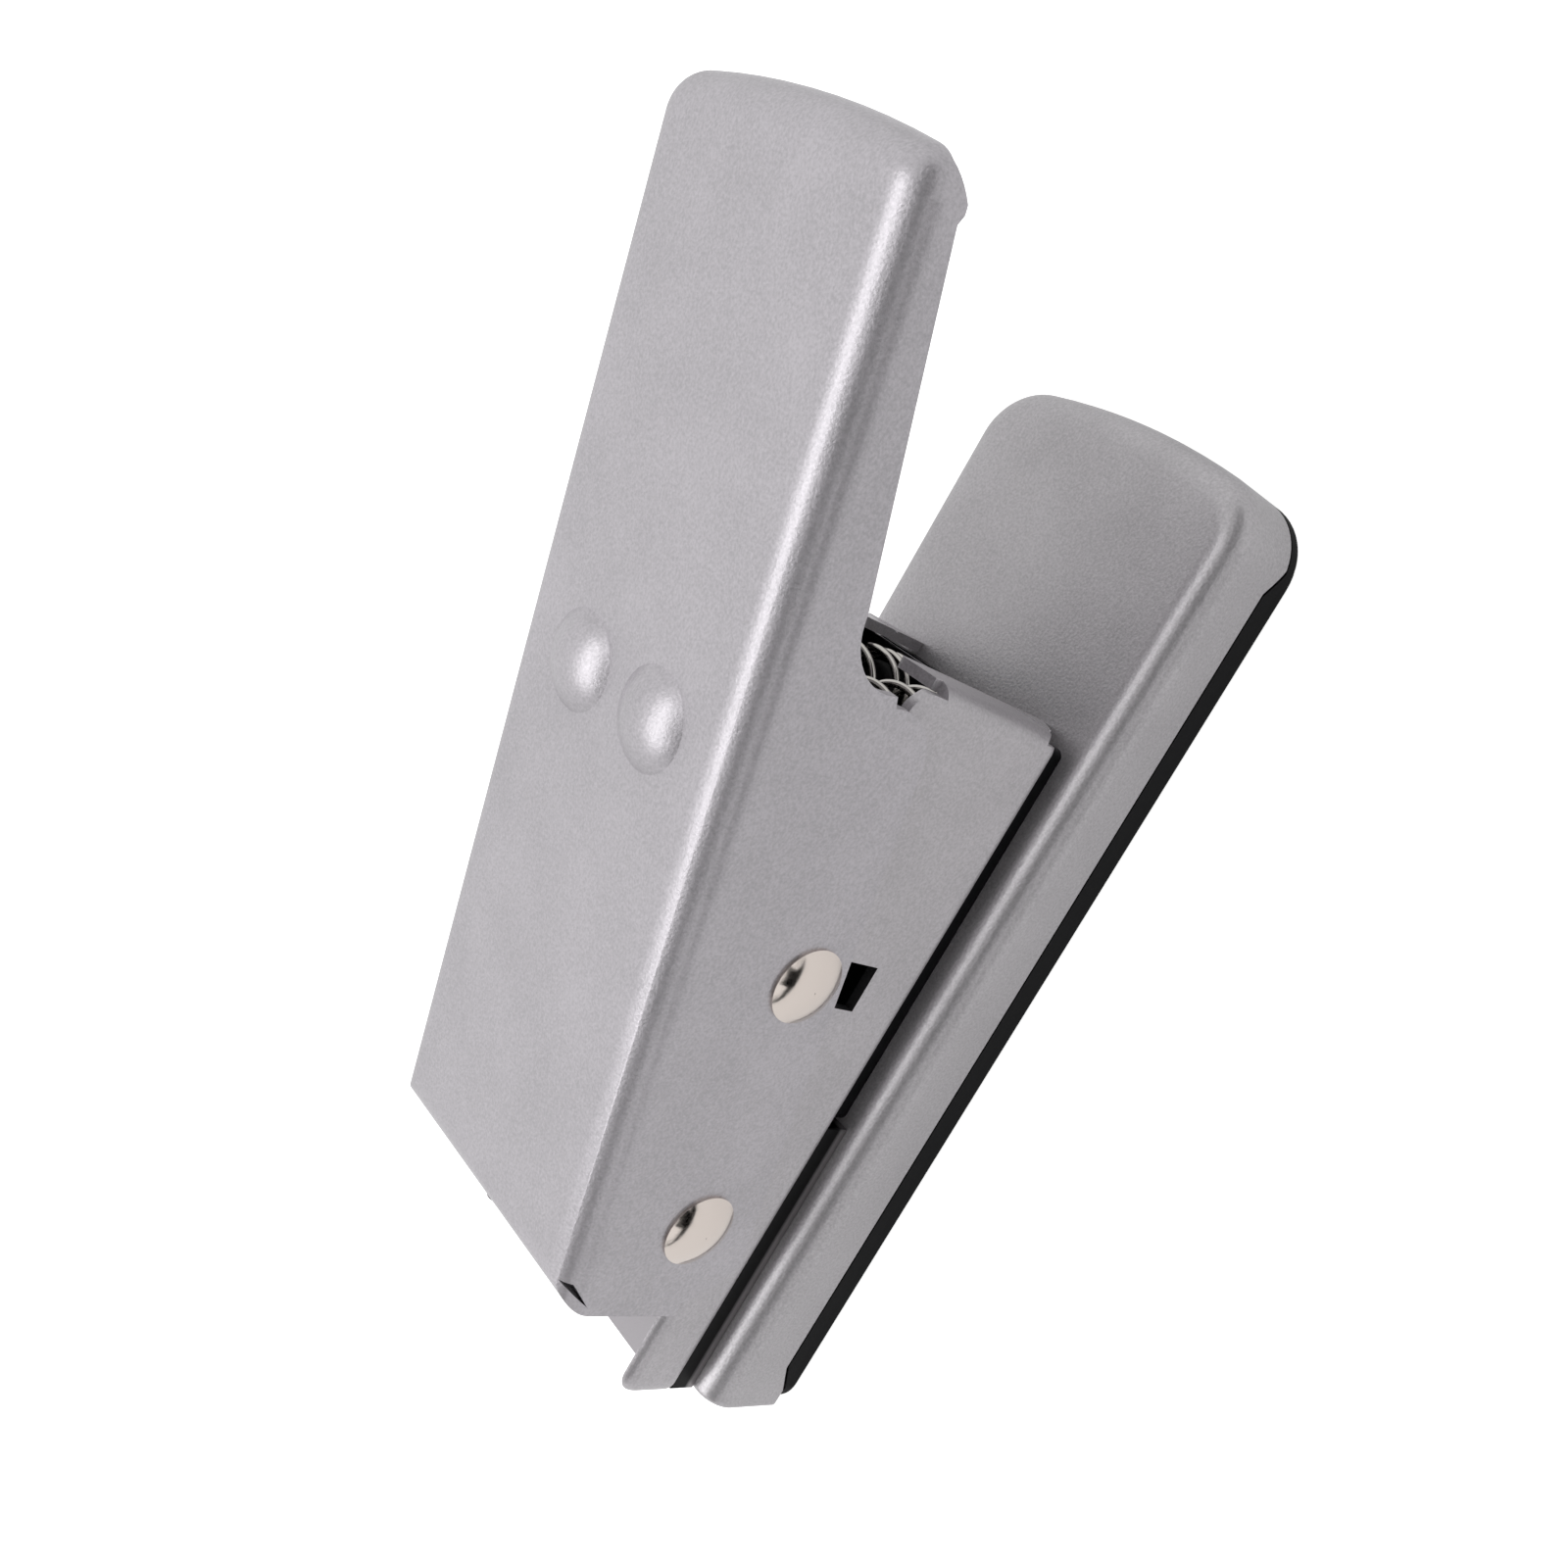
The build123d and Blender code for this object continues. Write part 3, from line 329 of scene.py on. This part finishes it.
@dataclass(frozen=True)
class BareMetal:
    """Bare or plated metal: one tint, with grinding or drawing marks of a size along each axis.

    Under a corner above it, it turns to a near-black colour of painted shade between two heights.
    """

    name: str
    colour: str
    roughness: float
    mark_mm: tuple[float, float, float] = (0.6, 0.6, 0.6)
    mark_detail: float = 3.0
    mark_depth: float = 0.06
    mark_roughness: float = 0.06
    painted_shade_colour: str = "#0C0C0D"
    painted_shade_z_mm: tuple[float, float] | None = None

    def material(self) -> bpy.types.Material:
        """Build the metal: marks of the named size in the roughness and in a faint bump.

        Returns:
            The material.
        """
        material = bpy.data.materials.new(self.name)
        tree = clear_tree(material)
        place = add(tree, "ShaderNodeTexCoord").outputs["Object"]
        marks_per_metre = [1 / (size * MM) for size in self.mark_mm]
        scaled = add(tree, "ShaderNodeMapping", {"Scale": marks_per_metre}, {"Vector": place})
        marks = add(
            tree,
            "ShaderNodeTexNoise",
            {"Scale": 1.0, "Detail": self.mark_detail},
            {"Vector": scaled.outputs["Vector"]},
        )
        rough = add(
            tree,
            "ShaderNodeMapRange",
            {"To Min": self.roughness - self.mark_roughness, "To Max": self.roughness + self.mark_roughness},
            {"Value": marks.outputs["Fac"]},
        )
        bump = add(
            tree,
            "ShaderNodeBump",
            {"Strength": self.mark_depth, "Distance": BUMP_MM * MM},
            {"Height": marks.outputs["Fac"]},
        )
        shader = add(
            tree,
            "ShaderNodeBsdfPrincipled",
            {"Base Color": linear(self.colour), "Metallic": 1.0},
            {"Roughness": rough.outputs["Result"], "Normal": bump.outputs["Normal"]},
        )
        # Painted shade: the tint turns near black towards the top, under the corner above
        if self.painted_shade_z_mm:
            height = add(tree, "ShaderNodeSeparateXYZ", None, {"Vector": place}).outputs["Z"]
            tint = fade(tree, height, self.painted_shade_z_mm, linear(self.colour), linear(self.painted_shade_colour))
            tree.links.new(tint, shader.inputs["Base Color"])
        add(tree, "ShaderNodeOutputMaterial", None, {"Surface": shader.outputs["BSDF"]})
        return material


def dress(names: list[str], finish: bpy.types.Material) -> None:
    """Give CAD nodes one finish and log the finish of each.

    Args:
        names: CAD nodes to dress.
        finish: Material for them.
    """
    for name in names:
        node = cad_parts[name]
        node.data.materials.clear()
        node.data.materials.append(finish)
        LOG.info("%s: %s", name, finish.name)


def weld(mesh: bpy.types.Mesh, within_mm: float, sharp_deg: float, drop_slivers: bool = False) -> None:
    """Join the points of a mesh that lie together, and shade it smooth between its sharp edges.

    Args:
        mesh: Mesh to join.
        within_mm: How near two points lie that become one.
        sharp_deg: Angle from which an edge stays sharp.
        drop_slivers: Whether faces with no area left are taken out too.
    """
    work = bmesh.new()
    work.from_mesh(mesh)
    bmesh.ops.remove_doubles(work, verts=work.verts, dist=within_mm * MM)
    if drop_slivers:
        bmesh.ops.dissolve_degenerate(work, edges=work.edges, dist=within_mm * MM)
    work.to_mesh(mesh)
    work.free()
    kept_normals = mesh.attributes.get("custom_normal")
    if kept_normals:
        mesh.attributes.remove(kept_normals)
    mesh.polygons.foreach_set("use_smooth", [True] * len(mesh.polygons))
    mesh.set_sharp_from_angle(angle=math.radians(sharp_deg))


def welded_copy(name: str, finish: bpy.types.Material) -> bpy.types.Object:
    """Copy a CAD node's mesh with its loose triangles joined, shaded smooth between its sharp edges.

    Args:
        name: CAD node to copy.
        finish: Material for the copy.

    Returns:
        The copy, at the origin.
    """
    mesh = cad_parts[name].data.copy()
    mesh.name = f"{name}_softened"
    weld(mesh, WELD_MM, SHARP_DEG)
    mesh.materials.clear()
    mesh.materials.append(finish)
    piece = bpy.data.objects.new(f"{name}_softened", mesh)
    bpy.context.scene.collection.objects.link(piece)
    return piece


def soften(
    name: str, body: Body, finish: bpy.types.Material, round_mm: float
) -> bpy.types.Object:
    """Let a copy stand for a CAD node, with its edges rounded a little as real ones are.

    Args:
        name: CAD node that the copy stands for.
        body: Body that it rides on.
        finish: Material for it.
        round_mm: Width of the rounding.

    Returns:
        The copy.
    """
    piece = welded_copy(name, finish)
    bevel = piece.modifiers.new("rounded edges", "BEVEL")
    bevel.limit_method = "ANGLE"
    bevel.angle_limit = math.radians(ROUND_FROM_DEG)
    bevel.width = round_mm * MM
    bevel.segments = ROUND_STEPS
    even = piece.modifiers.new("even shading", "WEIGHTED_NORMAL")
    even.keep_sharp = True
    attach(piece, body.value)
    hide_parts(name)
    LOG.info("%s: %s, edges rounded %.2f mm", name, finish.name, round_mm)
    return piece


def faces_of(mesh: bpy.types.Mesh) -> tuple[np.ndarray, np.ndarray]:
    """Read the middles and the normals of a mesh's faces.

    Args:
        mesh: Mesh to read.

    Returns:
        Middles in millimetres and unit normals, a row for each face.
    """
    middles = np.empty(len(mesh.polygons) * 3)
    normals = np.empty(len(mesh.polygons) * 3)
    mesh.polygons.foreach_get("center", middles)
    mesh.polygons.foreach_get("normal", normals)
    return middles.reshape(-1, 3) / MM, normals.reshape(-1, 3)


@dataclass
class Base:
    """The painted shell, its black tray, the steel plate and spacer on it, and the small parts."""

    # Satin lacquer on pressed steel: a soft grey sheen with a faint grain; the same lacquer as frame and
    # lever, its tone tuned apart as painted light and shade
    paint: SprayedPaint = SprayedPaint("satin grey lacquer of the base", "#C1BEC1", "#AAA7AA")

    # Moulded ABS: a deep black with hardly any shine
    plastic: MouldedPlastic = MouldedPlastic("black moulded ABS of the tray", "#0A0A0C")

    # Ground and blackened tool steel, kept near black so that its edge in the slot also gives painted shade:
    # a dark plate with a dull glint
    oxide: BareMetal = BareMetal("black-oxide tool steel of the die", "#1E1E20", 0.42)

    # Steel ground along its length: fine bright lines that end in painted black shade under the frame's fold
    # above
    strip: BareMetal = BareMetal(
        "ground steel of the spacer", "#8E8B8C", 0.38, (6.0, 0.25, 0.6), painted_shade_z_mm=(13.5, 14.1)
    )

    # Zinc plate on turned steel: a plain cool shine
    plate: BareMetal = BareMetal("zinc-plated steel", "#A9A8AB", 0.3)

    sheet_round_mm: float = 0.25
    plate_round_mm: float = 0.15
    small_parts: tuple[str, ...] = ("frame_rivet", "die_rivet", "guide_screw")
    small_part_count: int = 4

    def build(self) -> None:
        """Dress every piece of the base."""
        soften("base_shell", Body.BASE, self.paint.material(), self.sheet_round_mm)
        soften("bottom_tray", Body.TRAY, self.plastic.material(), self.sheet_round_mm)
        soften("die_plate", Body.BASE, self.oxide.material(), self.plate_round_mm)
        soften("slot_spacer", Body.BASE, self.strip.material(), self.plate_round_mm)
        numbers = range(1, self.small_part_count + 1)
        small = [f"{part}_{number}" for part in self.small_parts for number in numbers]
        dress(small + ["pivot_tube"], self.plate.material())


@dataclass
class Works:
    """The frame and what works inside it: guide, punch and springs."""

    # Satin lacquer on folded steel: a soft grey sheen with a faint grain; the same lacquer as base and
    # lever, its tone tuned apart as painted light and shade
    paint: SprayedPaint = SprayedPaint("satin grey lacquer of the frame", "#C4C0C4", "#AEABAE")

    # Painted shade on the frame's inner faces and its pin slots' walls: a dark grey that turns to the paint
    # at the tail
    inside: SprayedPaint = SprayedPaint(
        "painted shade inside the frame", "#2E2D2F", "#262527", 0.2, 0.6, rear_x_mm=(-50.0, -42.0)
    )

    # Moulded acetal: a waxy black
    plastic: MouldedPlastic = MouldedPlastic("black moulded acetal of the guide", "#121213")

    # Hardened and blackened tool steel: matte and nearly black
    oxide: BareMetal = BareMetal("black-oxide tool steel of the punch", "#0D0D0F", 0.55)

    # Drawn and polished spring steel: thin bright lines on the dark inside
    wire: BareMetal = BareMetal("bright drawn spring wire", "#B9B6B1", 0.1, mark_roughness=0.03)

    sheet_round_mm: float = 0.25

    # The hollow between the frame's panels: half its width, its front end and its floor
    hollow_y_mm: float = 16.3
    hollow_front_mm: float = 25.165
    hollow_floor_mm: float = 17.46

    # The box round the drive pin's slots: x from, x to, z from and z to
    slot_box_mm: tuple[float, float, float, float] = (-9.6, -2.4, 24.0, 39.0)

    # How far off a face its inside is felt, how deep in the sheet a slot's wall starts, and how far
    # across the punch its normal may lean
    feel_mm: float = 0.3
    wall_from_mm: float = 0.02
    wall_lean: float = 0.3

    # Where the springs stand on the guide, and where they meet the lever at rest: x and z
    spring_foot_mm: tuple[float, float] = (19.565, 17.96)
    spring_head_mm: tuple[float, float] = (11.263, 57.582)

    def build(self) -> None:
        """Dress every piece of the works."""
        piece = soften("frame", Body.BASE, self.paint.material(), self.sheet_round_mm)
        self.shade_inside(piece)
        dress(["guide_block"], self.plastic.material())
        dress(["punch"], self.oxide.material())
        wire = self.wire.material()
        for side in Side:
            self.spring(side, wire)

    def shade_inside(self, piece: bpy.types.Object) -> None:
        """Give the frame's inner faces and the walls of its pin slots a dark coat of painted shade.

        A face is inside where a point just off it, along its normal, lies in the frame's hollow. A
        slot's wall lies in the slot's box within the sheet, facing along it.

        Args:
            piece: The frame's softened copy.
        """
        piece.data.materials.append(self.inside.material())
        middles, normals = faces_of(piece.data)
        off = middles + self.feel_mm * normals
        inside = (off[:, 0] < self.hollow_front_mm) & (off[:, 2] > self.hollow_floor_mm)
        inside &= np.abs(off[:, 1]) < self.hollow_y_mm
        x, y, z = middles.T
        x_from, x_to, z_from, z_to = self.slot_box_mm
        walls = (x > x_from) & (x < x_to) & (z > z_from) & (z < z_to)
        walls &= np.abs(y) > self.hollow_y_mm + self.wall_from_mm
        walls &= np.abs(normals[:, 1]) < self.wall_lean
        # Painted shade: the inner faces and the slots' walls take the dark coat
        dull = inside | walls
        piece.data.polygons.foreach_set("material_index", dull.astype(np.int32))
        LOG.info("frame: %d of %d faces in %s", dull.sum(), len(dull), self.inside.name)

    def spring(self, side: Side, wire: bpy.types.Material) -> None:
        """Put a welded copy of a spring, its place baked into its points, in place of its CAD node.

        Args:
            side: Side of the punch that it stands on.
            wire: Its material.
        """
        name = f"spring_{side.value}"
        piece = welded_copy(name, wire)
        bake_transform(piece)
        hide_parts(name)
        LOG.info("%s: %s, bending with the lever", name, wire.name)


@dataclass
class Handle:
    """The lever with its pins and spring studs."""

    # Satin lacquer on pressed steel: a soft grey sheen with a faint grain; the same lacquer as base and
    # frame, its tone tuned apart as painted light and shade
    paint: SprayedPaint = SprayedPaint("satin grey lacquer of the lever", "#C2BEC3", "#ACA9AD")

    # Nickel plate, polished: a slightly warm mirror
    nickel: BareMetal = BareMetal("polished nickel plate", "#DAD0C9", 0.13)

    sheet_round_mm: float = 0.3

    # The lever's pivot as x and z, how far it is open at rest, and its top and studs in its own axes:
    # u along the lever, y across it and w square to its top
    pivot_mm: tuple[float, float] = (-35.435, 30.23)
    open_deg: float = 15.3
    top_w_mm: float = 15.26
    stud_u_mm: float = 52.26
    stud_y_mm: float = 6.49

    # A stud's cap: its radius and height, from how far over the lever's top the head is shaped into it,
    # and how near its points are joined and from which angle its edges stay sharp
    head_r_mm: float = 5.1
    head_height_mm: float = 2.1
    head_from_mm: float = 0.02
    head_weld_mm: float = 0.02
    head_sharp_deg: float = 35.0

    def build(self) -> None:
        """Dress every piece of the handle. The studs' heads are painted over with the lever."""
        paint = self.paint.material()
        soften("lever", Body.LEVER, paint, self.sheet_round_mm)
        for side in Side:
            self.stud(side, paint)
        dress(["pivot_pin", "drive_pin"], self.nickel.material())

    def to_lever(self, points: np.ndarray) -> np.ndarray:
        """Turn points of the shared frame into the lever's own axes.

        With x and z from the pivot and a the opening angle, u is x cos a + z sin a, and w is
        z cos a - x sin a.

        Args:
            points: Places in metres, a row for each.

        Returns:
            u, y and w in millimetres, a row for each.
        """
        angle = math.radians(self.open_deg)
        x = points[:, 0] / MM - self.pivot_mm[0]
        z = points[:, 2] / MM - self.pivot_mm[1]
        u = x * math.cos(angle) + z * math.sin(angle)
        w = z * math.cos(angle) - x * math.sin(angle)
        return np.column_stack((u, points[:, 1] / MM, w))

    def from_lever(self, points: np.ndarray) -> np.ndarray:
        """Turn the lever's own axes back into points of the shared frame.

        From the pivot and with a the opening angle, x is u cos a - w sin a, and z is u sin a + w cos a.

        Args:
            points: u, y and w in millimetres, a row for each.

        Returns:
            Places in metres, a row for each.
        """
        angle = math.radians(self.open_deg)
        x = points[:, 0] * math.cos(angle) - points[:, 2] * math.sin(angle) + self.pivot_mm[0]
        z = points[:, 0] * math.sin(angle) + points[:, 2] * math.cos(angle) + self.pivot_mm[1]
        return np.column_stack((x, points[:, 1], z)) * MM

    def stud(self, side: Side, paint: bpy.types.Material) -> None:
        """Round a stud's head to a full spherical cap under the lever's paint.

        Args:
            side: Side of the punch that the stud is on.
            paint: The lever's paint.
        """
        name = f"spring_stud_{side.value}"
        piece = welded_copy(name, paint)
        mesh = piece.data
        flat = np.empty(len(mesh.vertices) * 3)
        mesh.vertices.foreach_get("co", flat)
        own = self.to_lever(flat.reshape(-1, 3))
        middle = np.sign(own[:, 1].mean()) * self.stud_y_mm
        away = np.hypot(own[:, 0] - self.stud_u_mm, own[:, 1] - middle)
        proud = own[:, 2] > self.top_w_mm + self.head_from_mm
        own[proud, 2] = self.top_w_mm + self.cap(away[proud])
        mesh.vertices.foreach_set("co", self.from_lever(own).ravel())
        weld(mesh, self.head_weld_mm, self.head_sharp_deg, drop_slivers=True)
        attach(piece, Body.LEVER.value)
        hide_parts(name)
        LOG.info("%s: %s, head rounded to a cap", name, paint.name)

    def cap(self, away: np.ndarray) -> np.ndarray:
        """Give the height of a stud's cap at distances from its axis.

        A cap of radius r and height h belongs to a sphere of radius s, which is (r*r + h*h) / 2h. At a
        distance d its height is h less the sphere's fall, which is s less the root of s*s - d*d.

        Args:
            away: Distances from the axis in millimetres.

        Returns:
            Heights over the lever's top in millimetres, none below it.
        """
        r, h = self.head_r_mm, self.head_height_mm
        sphere = (r * r + h * h) / (2 * h)
        return np.maximum(h - sphere + np.sqrt(np.maximum(sphere * sphere - away * away, 0)), 0.0)


def facing(way: Place, away: float) -> Matrix:
    """Place something at a distance in a direction, facing the origin, with its width along X.

    Args:
        way: Direction from the origin.
        away: Distance in metres.

    Returns:
        Its place and turn: its own Z points back along the way, away from the origin.
    """
    back = Vector(way).normalized()
    depth = back.cross(Vector((1, 0, 0))).normalized()
    width = depth.cross(back)
    turn = Matrix((width, depth, back)).transposed().to_4x4()
    return Matrix.Translation(back * away) @ turn


def card_mesh(name: str, wide: float, deep: float, turn: np.ndarray, middle: Place) -> bpy.types.Mesh:
    """Make one flat card.

    Each corner is half the width and half the depth from the middle, turned and then moved.

    Args:
        name: Name of the mesh.
        wide: Size along the card's first axis in metres.
        deep: Size along its second axis in metres.
        turn: The card's axes as the columns of a 3 by 3 matrix.
        middle: Place of its middle in metres.

    Returns:
        The mesh.
    """
    signs = np.array([(-1, -1, 0), (1, -1, 0), (1, 1, 0), (-1, 1, 0)])
    corners = signs * (wide / 2, deep / 2, 0)
    mesh = bpy.data.meshes.new(name)
    mesh.from_pydata((corners @ turn.T + np.array(middle)).tolist(), [], [(0, 1, 2, 3)])
    return mesh


@dataclass(frozen=True)
class Softbox:
    """A soft lamp: the way to it from the punch, its width, depth and distance in metres, and its watts."""

    name: str
    way: Place
    wide: float
    deep: float
    watts: float
    away: float = 1.0

    def hang(self) -> None:
        """Hang the lamp facing the punch, with its width along the punch's length."""
        data = bpy.data.lights.new(self.name, "AREA")
        data.shape = "RECTANGLE"
        data.size = self.wide
        data.size_y = self.deep
        data.energy = self.watts
        lamp = bpy.data.objects.new(self.name, data)
        lamp.matrix_world = facing(self.way, self.away)
        lamp.visible_camera = False
        bpy.context.scene.collection.objects.link(lamp)


@dataclass(frozen=True)
class Flag:
    """A black felt card that shows only in reflections: its middle, facing, width and depth in metres."""

    name: str
    middle: Place
    faces: Place
    wide: float
    deep: float
    colour: str = "#0A0A0A"

    def hang(self) -> None:
        """Hang the card with its width along the punch's length."""
        turn = np.array(facing(self.faces, 0.0))[:3, :3]
        mesh = card_mesh(self.name, self.wide, self.deep, turn, self.middle)
        card = bpy.data.objects.new(self.name, mesh)
        bpy.context.scene.collection.objects.link(card)
        black = bpy.data.materials.new(self.name)
        tree = clear_tree(black)
        felt = add(tree, "ShaderNodeBsdfDiffuse", {"Color": linear(self.colour)})
        add(tree, "ShaderNodeOutputMaterial", None, {"Surface": felt.outputs["BSDF"]})
        mesh.materials.append(black)
        card.visible_camera = False
        card.visible_diffuse = False
        card.visible_transmission = False
        card.visible_shadow = False


@dataclass
class Studio:
    """Pale floor, white ground, one soft lamp, black cards and the photograph's camera."""

    camera_place_mm: Place = (38.415, -117.077, 157.124)
    camera_aim_mm: Place = (7.577, 0.0, 32.004)
    camera_roll_deg: float = -71.031
    camera_clip_m: tuple[float, float] = (0.005, 20.0)
    focal_mm: float = 37.818
    sensor_mm: float = 36.0
    floor_size_m: float = 6.0
    floor_paper: Colour = (0.8, 0.8, 0.8, 1.0)
    floor_camera_lift: float = 0.8
    floor_gloss_lift: float = 0.25
    world_white: Colour = (1.0, 1.0, 1.0, 1.0)
    world_fill: float = 0.5
    world_gloss: float = 1.0
    key: Softbox = Softbox("key softbox", (-0.31, -0.02, 0.9), 1.3, 0.46, 4.4)

    # The cards give the lever's fold its dark edge and the pins' heads their dark crescents
    flags: tuple[Flag, ...] = (
        Flag("flag over the front", (-0.05, -0.36, 0.36), (0.0, -0.71, 0.71), 2.4, 0.26),
        Flag("flag under it", (-0.05, -0.3, 0.18), (0.0, -1.0, 0.0), 1.6, 0.06),
        Flag("far narrow flag", (-0.12, -1.0, 0.085), (0.0, -1.0, 0.0), 0.46, 0.17),
        Flag("flag on the table", (-0.12, -0.6, 0.001), (0.0, 0.0, 1.0), 0.4, 0.78),
    )

    def build(self) -> None:
        """Set up camera, floor, world, lamp and cards."""
        self.camera()
        self.floor()
        self.world()
        self.key.hang()
        for flag in self.flags:
            flag.hang()
        bpy.context.scene.view_settings.view_transform = "Standard"

    def camera(self) -> None:
        """Put the camera where the photograph was taken, turned to its tilt."""
        data = bpy.data.cameras.new("photo camera")
        data.sensor_width = self.sensor_mm
        data.lens = self.focal_mm
        data.clip_start, data.clip_end = self.camera_clip_m
        camera = bpy.data.objects.new("photo camera", data)
        place = Vector(self.camera_place_mm) * MM
        toward = Vector(self.camera_aim_mm) * MM - place
        turn = toward.to_track_quat("-Z", "Y").to_matrix().to_4x4()
        roll = Matrix.Rotation(math.radians(self.camera_roll_deg), 4, "Z")
        camera.matrix_world = Matrix.Translation(place) @ turn @ roll
        bpy.context.scene.collection.objects.link(camera)
        bpy.context.scene.camera = camera

    def floor(self) -> None:
        """Lay a pale floor that shows white to the camera and keeps the punch's soft shadow."""
        mesh = card_mesh("floor", self.floor_size_m, self.floor_size_m, np.eye(3), (0.0, 0.0, 0.0))
        floor = bpy.data.objects.new("floor", mesh)
        bpy.context.scene.collection.objects.link(floor)
        material = bpy.data.materials.new("white studio floor")
        tree = clear_tree(material)
        paper = add(tree, "ShaderNodeBsdfDiffuse", {"Color": self.floor_paper})
        rays = add(tree, "ShaderNodeLightPath")
        seen = add(
            tree,
            "ShaderNodeMath",
            {"operation": "MULTIPLY", FACTOR: self.floor_camera_lift},
            {VALUE: rays.outputs["Is Camera Ray"]},
        )
        lift = add(
            tree,
            "ShaderNodeMath",
            {"operation": "MULTIPLY_ADD", FACTOR: self.floor_gloss_lift},
            {VALUE: rays.outputs["Is Glossy Ray"], ADDEND: seen.outputs["Value"]},
        )
        glow = add(tree, "ShaderNodeEmission", None, {"Strength": lift.outputs["Value"]})
        both = add(
            tree, "ShaderNodeAddShader", None, {0: paper.outputs["BSDF"], 1: glow.outputs["Emission"]}
        )
        add(tree, "ShaderNodeOutputMaterial", None, {"Surface": both.outputs["Shader"]})
        mesh.materials.append(material)

    def world(self) -> None:
        """Show white to the camera and in reflections, and a dimmer fill to the rest."""
        world = bpy.data.worlds.new("white studio")
        world.use_nodes = True
        tree = world.node_tree
        tree.nodes.clear()
        rays = add(tree, "ShaderNodeLightPath")
        gloss = add(
            tree,
            "ShaderNodeMapRange",
            {"To Min": self.world_fill, "To Max": self.world_gloss},
            {"Value": rays.outputs["Is Glossy Ray"]},
        )
        open_view = add(
            tree,
            "ShaderNodeMath",
            {"operation": "MAXIMUM"},
            {0: rays.outputs["Is Camera Ray"], 1: rays.outputs["Is Transmission Ray"]},
        )
        strength = add(
            tree,
            "ShaderNodeMapRange",
            None,
            {"Value": open_view.outputs["Value"], "To Min": gloss.outputs["Result"]},
        )
        ground = add(
            tree,
            "ShaderNodeBackground",
            {"Color": self.world_white},
            {"Strength": strength.outputs["Result"]},
        )
        add(tree, "ShaderNodeOutputWorld", None, {"Surface": ground.outputs["Background"]})
        bpy.context.scene.world = world


def main() -> None:
    """Build the looks in order and report each piece."""
    logging.basicConfig(level=logging.INFO, format="%(message)s")
    Base().build()
    Works().build()
    Handle().build()
    Studio().build()


if __name__ == "__main__":
    main()
